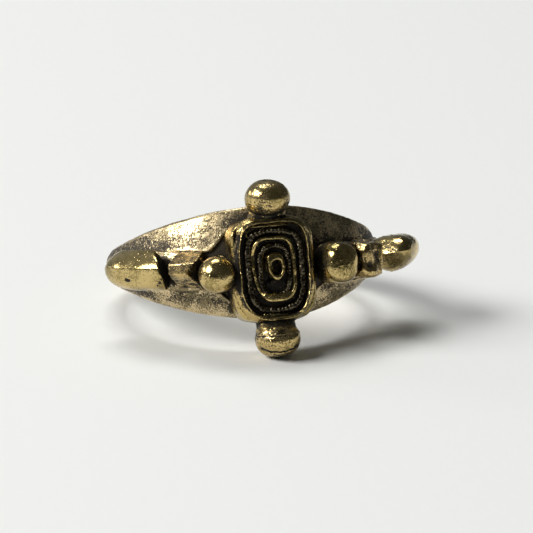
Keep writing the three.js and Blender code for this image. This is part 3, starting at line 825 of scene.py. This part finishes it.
def shoulder_strip(shoulder, seed, half_width):
    """A thin strip, bent to the band, from just short of the wedge to just past the end pellet."""
    wedge_at, wedge_rise = shoulder["wedge"]
    end_at, end_rise = shoulder["end"]
    start = wedge_at - radians(6.8)
    stop = end_at + shoulder["end_size"][0] / 2 / MIDDLE_RADIUS + radians(1.5)
    bm = bmesh.new()
    bmesh.ops.create_cube(bm, size=1)
    bmesh.ops.subdivide_edges(bm, edges=bm.edges, cuts=3, use_grid_fill=True)
    longways = [e for e in bm.edges if abs(e.verts[0].co.x - e.verts[1].co.x) > 0.1]
    bmesh.ops.subdivide_edges(bm, edges=longways, cuts=40, use_grid_fill=True)
    crossways = [e for e in bm.edges if abs(e.verts[0].co.y - e.verts[1].co.y) > 0.1]
    bmesh.ops.subdivide_edges(bm, edges=crossways, cuts=8, use_grid_fill=True)
    for v in bm.verts:
        angle = start + (v.co.x + 0.5) * (stop - start)
        share = min(max((angle - wedge_at) / (end_at - wedge_at), 0), 1)
        middle = wedge_rise + (end_rise - wedge_rise) * share
        ends = 1 - 0.5 * smooth_step(abs(v.co.x), 0.40, 0.5)
        width = half_width * ends * (1 - 0.12 * max(v.co.z, 0))
        height = middle + v.co.y * 2 * width
        crown = 0.1 * smooth_step(abs(v.co.y), 0.3, 0.5)
        out = STRIP_FOOT if v.co.z < 0 else STRIP_HEIGHT * (v.co.z * 2) - crown
        turn = shoulder["side"] * angle
        v.co = around(turn, band_radius(turn, height) + out, height)
    bmesh.ops.recalc_face_normals(bm, faces=bm.faces)
    hand_work(bm, seed, lump=0.07, lump_mm=0.8, grain=0.02, grain_mm=0.22, pits=0.03, pit_mm=0.4)
    return bm


piece(shoulder_strip(LEFT, 12, 1.52), "left_strip", cast_skin)
piece(shoulder_strip(RIGHT, 13, 1.22), "right_strip", cast_skin)


# The seats: a ring of solder round each ball's foot. The right one has a bead of spilt solder beside it.
BEAD_HEIGHT = 0.45


def ball_seat(shoulder, seed, spread, bead):
    """A collar, spread by a share, with a bead on its side towards the bezel."""
    angle, rise = shoulder["ball"]
    bm = spun([
        (0, -0.8), (1.5, -0.8), (1.5, -0.5), (1.48, -0.2), (1.42, 0.0), (1.33, 0.14), (1.22, 0.27),
        (1.15, 0.4), (1.12, 0.52), (1.1, 0.64), (1.05, 0.72), (0.9, 0.76), (0.5, 0.76), (0, 0.76),
    ], POST_STEPS)
    bmesh.ops.remove_doubles(bm, verts=bm.verts, dist=0.001)
    for v in bm.verts:
        beside = exp(-((v.co.x + 1.15) ** 2 + (v.co.y - 0.35) ** 2) / 0.12)
        out = v.co.z + bead * beside * smooth_step(v.co.z, -0.5, 0.0)
        v.co = outwards(shoulder, angle, rise, out, along=v.co.x * spread, up=v.co.y * spread)
    bmesh.ops.recalc_face_normals(bm, faces=bm.faces)
    hand_work(bm, seed, lump=0.09, lump_mm=0.6, grain=0.03, grain_mm=0.2, pits=0.05, pit_mm=0.3)
    return bm


piece(ball_seat(LEFT, 14, spread=1.0, bead=0.0), "left_ball_seat", black_solder)
piece(ball_seat(RIGHT, 15, spread=1.04, bead=BEAD_HEIGHT), "right_ball_seat", black_solder)

# Melted brass on the balls and end pellets: a finger rubs them, so they are the smoothest and the cleanest.
worn_ball = aged_brass(
    "worn_ball_brass", bright="#ceb67c", tarnish="#918050", patina="#1f1b12",
    roughness=0.15, cover=0.34, hold=3.0, mottle_mm=0.9, speck_mm=0.12, pitting=0.9, relief_mm=0.03,
)

BALL_TOP = 2.86


def set_ball(shoulder, seed, radius, half_height, squareness, plan, shift):
    """A ball on its seat. It's shifted towards the bezel, and longer along the finger by a share of that."""
    angle, rise = shoulder["ball"]
    bm = melted_ball(radius, half_height, squareness, plan)
    for v in bm.verts:
        up = v.co.y * (1 + 0.4 * shift)
        out = BALL_TOP - half_height + v.co.z
        v.co = outwards(shoulder, angle, rise, out, along=v.co.x - shift, up=up)
    bmesh.ops.recalc_face_normals(bm, faces=bm.faces)
    hand_work(
        bm, seed, lump=0.07, lump_mm=1.3, grain=0.006, grain_mm=0.22, pits=0.035, pit_mm=0.45, rarity=0.84,
    )
    return bm


left_ball = set_ball(LEFT, 16, radius=1.42, half_height=1.38, squareness=2.1, plan=2.0, shift=0.0)
piece(left_ball, "left_ball", worn_ball)
right_ball = set_ball(RIGHT, 17, radius=1.46, half_height=1.62, squareness=2.7, plan=2.5, shift=0.26)
piece(right_ball, "right_ball", worn_ball)


# The wedges: the left one is hipped like a roof and filed, and the right one is a rough, lumpy block.
WEDGE_FOOT = -0.4


def hipped_wedge(
    shoulder, seed, half_length, ridge_lift, above, below, height, taper, hip, arris, lump, pits,
):
    """A block that narrows by its taper up to a ridge. above and below are its half widths at the foot, hip
    is how far its near end slopes back, and arris is how much is taken off its edges."""
    angle, rise = shoulder["wedge"]
    bm = bmesh.new()
    bmesh.ops.create_cube(bm, size=2)
    bmesh.ops.subdivide_edges(bm, edges=bm.edges, cuts=1, use_grid_fill=True)
    for v in bm.verts:
        share = (v.co.z + 1) / 2
        near_end = half_length - hip * share * (0.3 if v.co.y > 0 else 1)
        far_end = half_length - 0.22 * taper * share
        overhang = 1 + (0.18 * share if v.co.x < 0 else 0)
        v.co = Vector((
            v.co.x * (near_end if v.co.x < 0 else far_end) * overhang,
            v.co.y * (above if v.co.y > 0 else below) * (1 - taper * share) + ridge_lift * share,
            WEDGE_FOOT + (height - WEDGE_FOOT) * share,
        ))
    bmesh.ops.bevel(
        bm, geom=bm.edges[:], offset=arris, offset_type="OFFSET", segments=2, profile=0.5,
        affect="EDGES", material=-1, clamp_overlap=True,
    )
    bmesh.ops.subdivide_edges(bm, edges=bm.edges, cuts=5, use_grid_fill=True)
    bmesh.ops.triangulate(bm, faces=[f for f in bm.faces if len(f.verts) > 4])
    for v in bm.verts:
        v.co = wrapped(shoulder, angle, rise, v.co.z, v.co.x, v.co.y)
    bmesh.ops.remove_doubles(bm, verts=bm.verts, dist=0.001)
    bmesh.ops.recalc_face_normals(bm, faces=bm.faces)
    hand_work(bm, seed, lump=lump, lump_mm=0.8, grain=0.012, grain_mm=0.22, pits=pits, pit_mm=0.4)
    return bm


# Filed brass: flatter and duller than the balls, with more of the patina left between the file's strokes.
# Its darkening in the gaps also paints the shade on the hipped ends and between each wedge and its ball.
filed_wedge = aged_brass(
    "filed_wedge_brass", bright="#d0b57b", tarnish="#7e7050", patina="#2b251b",
    roughness=0.24, cover=0.34, hold=1.6, mottle_mm=0.8, speck_mm=0.12, pitting=0.8,
)
left_wedge = hipped_wedge(
    LEFT, 18, half_length=1.05, ridge_lift=0.30, above=1.8, below=1.5, height=2.2, taper=0.74, hip=0.75,
    arris=0.1, lump=0.08, pits=0.05,
)
piece(left_wedge, "left_wedge", filed_wedge)
right_wedge = hipped_wedge(
    RIGHT, 24, half_length=0.98, ridge_lift=-0.1, above=1.55, below=1.5, height=2.4, taper=0.22, hip=0.25,
    arris=0.36, lump=0.24, pits=0.1,
)
piece(right_wedge, "right_wedge", filed_wedge)


# The end pellets: long drops with a low ridge along them. The left one is cut square towards the bezel and
# filed to a flat above its ridge, and the right one is rounder. Their profiles are shares of the length and
# of the width.
CUT_END = [
    (0.0, 0.0), (0.0, 0.25), (0.0, 0.5), (0.0, 0.75), (0.002, 0.86), (0.006, 0.93), (0.014, 0.97),
    (0.026, 0.99), (0.05, 1.0),
]
ROUND_END = [
    (0.0, 0.0), (0.0, 0.25), (0.004, 0.5), (0.014, 0.66), (0.03, 0.77), (0.055, 0.86), (0.09, 0.92),
    (0.13, 0.96), (0.18, 0.99),
]
BLUNT_TIP = [
    (0.25, 1.0), (0.34, 1.0), (0.43, 1.0), (0.52, 0.99), (0.6, 0.975), (0.67, 0.95), (0.74, 0.91),
    (0.8, 0.86), (0.85, 0.8), (0.895, 0.72), (0.93, 0.63), (0.957, 0.53), (0.977, 0.41), (0.99, 0.28),
    (0.998, 0.14), (1.0, 0.0),
]

# Flaws in the left one's casting: share of its length, height, radius and depth. All but one cluster.
CASTING_FLAWS = [
    (0.43, -0.7, 0.1, 0.24), (0.07, -0.92, 0.15, 0.11), (0.13, -0.7, 0.07, 0.12), (0.03, -0.62, 0.1, 0.1),
    (0.17, -0.98, 0.06, 0.1), (0.1, -1.14, 0.07, 0.09), (0.23, -0.76, 0.05, 0.08), (0.0, -0.8, 0.08, 0.1),
]


PROFILE_CUTS, PELLET_STEPS = 4, 144
TIP_LIFT = 0.1


def end_pellet(shoulder, seed, near_end, ridge_lift, slants, jut, above, below, dents):
    """A drop, spun and then shaped. above and below are the share of the half width and how square it is on
    that side of the ridge. slants move the near end's upper edge away from the bezel and its lower edge
    towards it, and jut is how far its top is drawn out over the gap."""
    angle, rise = shoulder["end"]
    length, half_width, half_height = shoulder["end_size"]
    outline = near_end + BLUNT_TIP
    fine = []
    for (x0, r0), (x1, r1) in zip(outline, outline[1:]):
        for i in range(PROFILE_CUTS):
            fine.append((x0 + (x1 - x0) * i / PROFILE_CUTS, r0 + (r1 - r0) * i / PROFILE_CUTS))
    bm = spun([(reach, share) for share, reach in fine + [outline[-1]]], PELLET_STEPS)
    bmesh.ops.remove_doubles(bm, verts=bm.verts, dist=0.0005)
    for v in bm.verts:
        turn = atan2(v.co.y, v.co.x)
        reach = hypot(v.co.x, v.co.y)
        width_share, square = above if sin(turn) > 0 else below
        facet = (abs(cos(turn)) ** square + abs(sin(turn)) ** square) ** (-1 / square)
        out = cos(turn) * facet * reach * half_height * (1.08 if cos(turn) > 0 else 1)
        up = sin(turn) * facet * reach * half_width * width_share
        cut = slants[0 if up > 0 else 1] * (up / half_width) - jut * max(cos(turn), 0) * reach
        cut *= 1 - smooth_step(v.co.z, 0.0, 0.55)
        up += ridge_lift * max(cos(turn), 0) * reach
        up += TIP_LIFT * smooth_step(v.co.z, 0.25, 1.0)
        for dent_share, dent_up, dent_radius, dent_depth in dents:
            off = ((v.co.z - dent_share) * length) ** 2 + (up - dent_up) ** 2
            out -= dent_depth * exp(-off / dent_radius ** 2) if out > 0 else 0
        v.co = wrapped(shoulder, angle, rise, half_height + out, (v.co.z - 0.5) * length + cut, up)
    bmesh.ops.recalc_face_normals(bm, faces=bm.faces)
    hand_work(
        bm, seed, lump=0.05, lump_mm=1.5, grain=0.006, grain_mm=0.22, pits=0.04, pit_mm=0.45, rarity=0.84,
    )
    return bm


left_end = end_pellet(
    LEFT, 20, CUT_END, ridge_lift=0.14, slants=(0.45, 0.45), jut=0.6,
    above=(1.0, 1.3), below=(1.0, 2.2), dents=CASTING_FLAWS,
)
piece(left_end, "left_end_pellet", worn_ball)
right_end = end_pellet(
    RIGHT, 21, ROUND_END, ridge_lift=0.22, slants=(0.65, -1.0), jut=0.0,
    above=(0.98, 2.3), below=(1.0, 1.9), dents=[],
)
piece(right_end, "right_end_pellet", worn_ball)


# ----------------------------------------------------------------------------
# Patina, painted shade and wear. A rubbed patina stays where a cloth can't reach, so shelter is measured by
# looking out from each point to see how much of the ring is close around it. The same shelter darkens the
# colour as painted shade, where shadow falls between pieces. Wear is measured by how far a point stands
# proud of what is round it on its own piece.
# ----------------------------------------------------------------------------
SHELTER_REACH = 1.7 * MM
LOOKS_OUT = 10
LIFT_OFF = 0.02
# How much darker the shank's sides are made, as painted shade and patina.
SIDE_SHADE_AND_PATINA = 0.22
SIDE_ANGLES = [radians(46), radians(66), radians(95), radians(130)]
WEAR_SMOOTHINGS = 24
FULLY_PROUD = 0.05

corners, faces = [], []
for form in finished:
    mesh = form.data
    co = np.empty(len(mesh.vertices) * 3)
    mesh.vertices.foreach_get("co", co)
    offset = len(corners)
    corners += [tuple(c) for c in co.reshape(-1, 3)]
    faces += [[offset + i for i in p.vertices] for p in mesh.polygons]
ring_tree = BVHTree.FromPolygons(corners, faces)

golden = pi * (3 - sqrt(5))
looks = []
for i in range(LOOKS_OUT):
    rise = sqrt(1 - (i + 0.5) / LOOKS_OUT)  # spread by the cosine of the angle from the normal
    flat = sqrt(1 - rise * rise)
    looks.append((flat * cos(golden * i), flat * sin(golden * i), rise))

for form in finished:
    mesh = form.data
    count = len(mesh.vertices)
    co = np.empty(count * 3)
    mesh.vertices.foreach_get("co", co)
    co = co.reshape(-1, 3)
    normals = np.empty(count * 3)
    mesh.vertices.foreach_get("normal", normals)
    normals = normals.reshape(-1, 3)
    ends = np.empty(len(mesh.edges) * 2, dtype=np.int64)
    mesh.edges.foreach_get("vertices", ends)
    ends = ends.reshape(-1, 2)

    share = np.zeros(count)
    for i in range(count):
        normal = Vector(normals[i])
        start = Vector(co[i]) + normal * LIFT_OFF * MM
        aside = normal.orthogonal().normalized()
        other = normal.cross(aside)
        met = 0.0
        for x, y, z in looks:
            way = aside * x + other * y + normal * z
            hit = ring_tree.ray_cast(start, way, SHELTER_REACH)
            if hit[0] is not None:
                met += 1 - 0.6 * hit[3] / SHELTER_REACH
        share[i] = met / LOOKS_OUT
    if form.name == "shank_form":
        # The sides of the shank are made darker than its front: painted shade where they turn away from the
        # light, laid over patina where a cloth and a finger reach them less.
        from_middle = (co - np.array(ring_middle)) / MM
        turned = np.abs(np.arctan2(from_middle[:, 0], -from_middle @ np.array(backwards)))
        share += SIDE_SHADE_AND_PATINA * np.interp(turned, SIDE_ANGLES, [0, 1, 1, 0])

    near = np.bincount(ends.ravel(), minlength=count).clip(1)
    smooth = co.copy()
    for _ in range(WEAR_SMOOTHINGS):
        total = np.zeros_like(smooth)
        for axis in range(3):
            total[:, axis] = (
                np.bincount(ends[:, 0], smooth[ends[:, 1], axis], count)
                + np.bincount(ends[:, 1], smooth[ends[:, 0], axis], count)
            )
        smooth = 0.4 * smooth + 0.6 * total / near[:, None]
    stands = ((co - smooth) * normals).sum(1) / MM
    for _ in range(2):
        total = np.bincount(ends[:, 0], share[ends[:, 1]], count)
        total = total + np.bincount(ends[:, 1], share[ends[:, 0]], count)
        share = 0.5 * share + 0.5 * total / near
    # This shelter darkens the colour in the material, as patina and as painted shade.
    mesh.attributes.new("gap_shade_and_patina", "FLOAT", "POINT").data.foreach_set("value", share.astype(np.float32))
    proud = np.clip(stands / FULLY_PROUD, -1, 1)
    mesh.attributes.new("proud", "FLOAT", "POINT").data.foreach_set("value", proud.astype(np.float32))

# Colours are shown as they are, with no film curve over them.
scene.view_settings.view_transform = "Standard"
